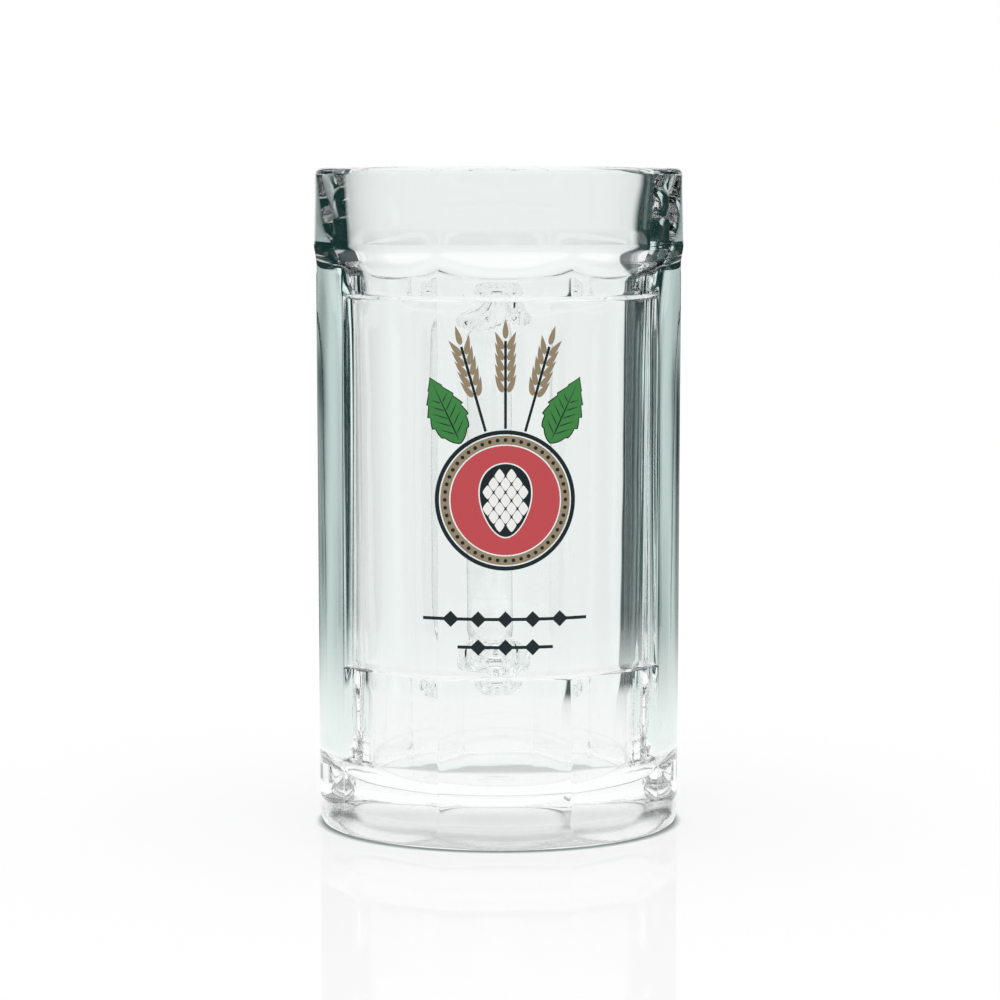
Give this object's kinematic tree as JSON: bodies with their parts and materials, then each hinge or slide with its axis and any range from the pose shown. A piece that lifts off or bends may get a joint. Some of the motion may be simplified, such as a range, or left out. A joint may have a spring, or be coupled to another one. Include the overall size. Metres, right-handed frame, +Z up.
{
  "type": "glass beer mug",
  "caption": "Clear pressed-glass beer mug with flat facets, rounded side columns, a round collar and foot, a loop handle at the back and a fired enamel print on a smooth label field.",
  "frame": {"origin": "on the mug's axis, on the plane it stands on", "axes": "+Z up along the mug's axis; the print faces -Y and the handle points to +Y; +X is the printed side's right"},
  "size_m": [0.0844, 0.118, 0.15],
  "materials": {
    "glass": "clear, polished, slightly green",
    "enamel_black": "fired enamel, glossy, opaque",
    "enamel_white": "fired enamel, glossy, opaque",
    "enamel_red": "fired enamel, glossy, opaque",
    "enamel_green": "fired enamel, glossy, opaque",
    "enamel_tan": "fired enamel, glossy, opaque"
  },
  "bodies": {
    "root": {"mug_body": "glass", "handle": "glass", "print_medallion_ring": "enamel_black", "print_medallion_band": "enamel_tan", "print_medallion_disc": "enamel_red", "print_hop_cone": "enamel_white", "print_barley_ear_1": "enamel_tan", "print_barley_ear_2": "enamel_tan", "print_barley_ear_3": "enamel_tan", "print_hop_leaf_left": "enamel_green", "print_hop_leaf_right": "enamel_green", "print_rule_upper": "enamel_black", "print_rule_lower": "enamel_black"}
  },
  "joints": []
}
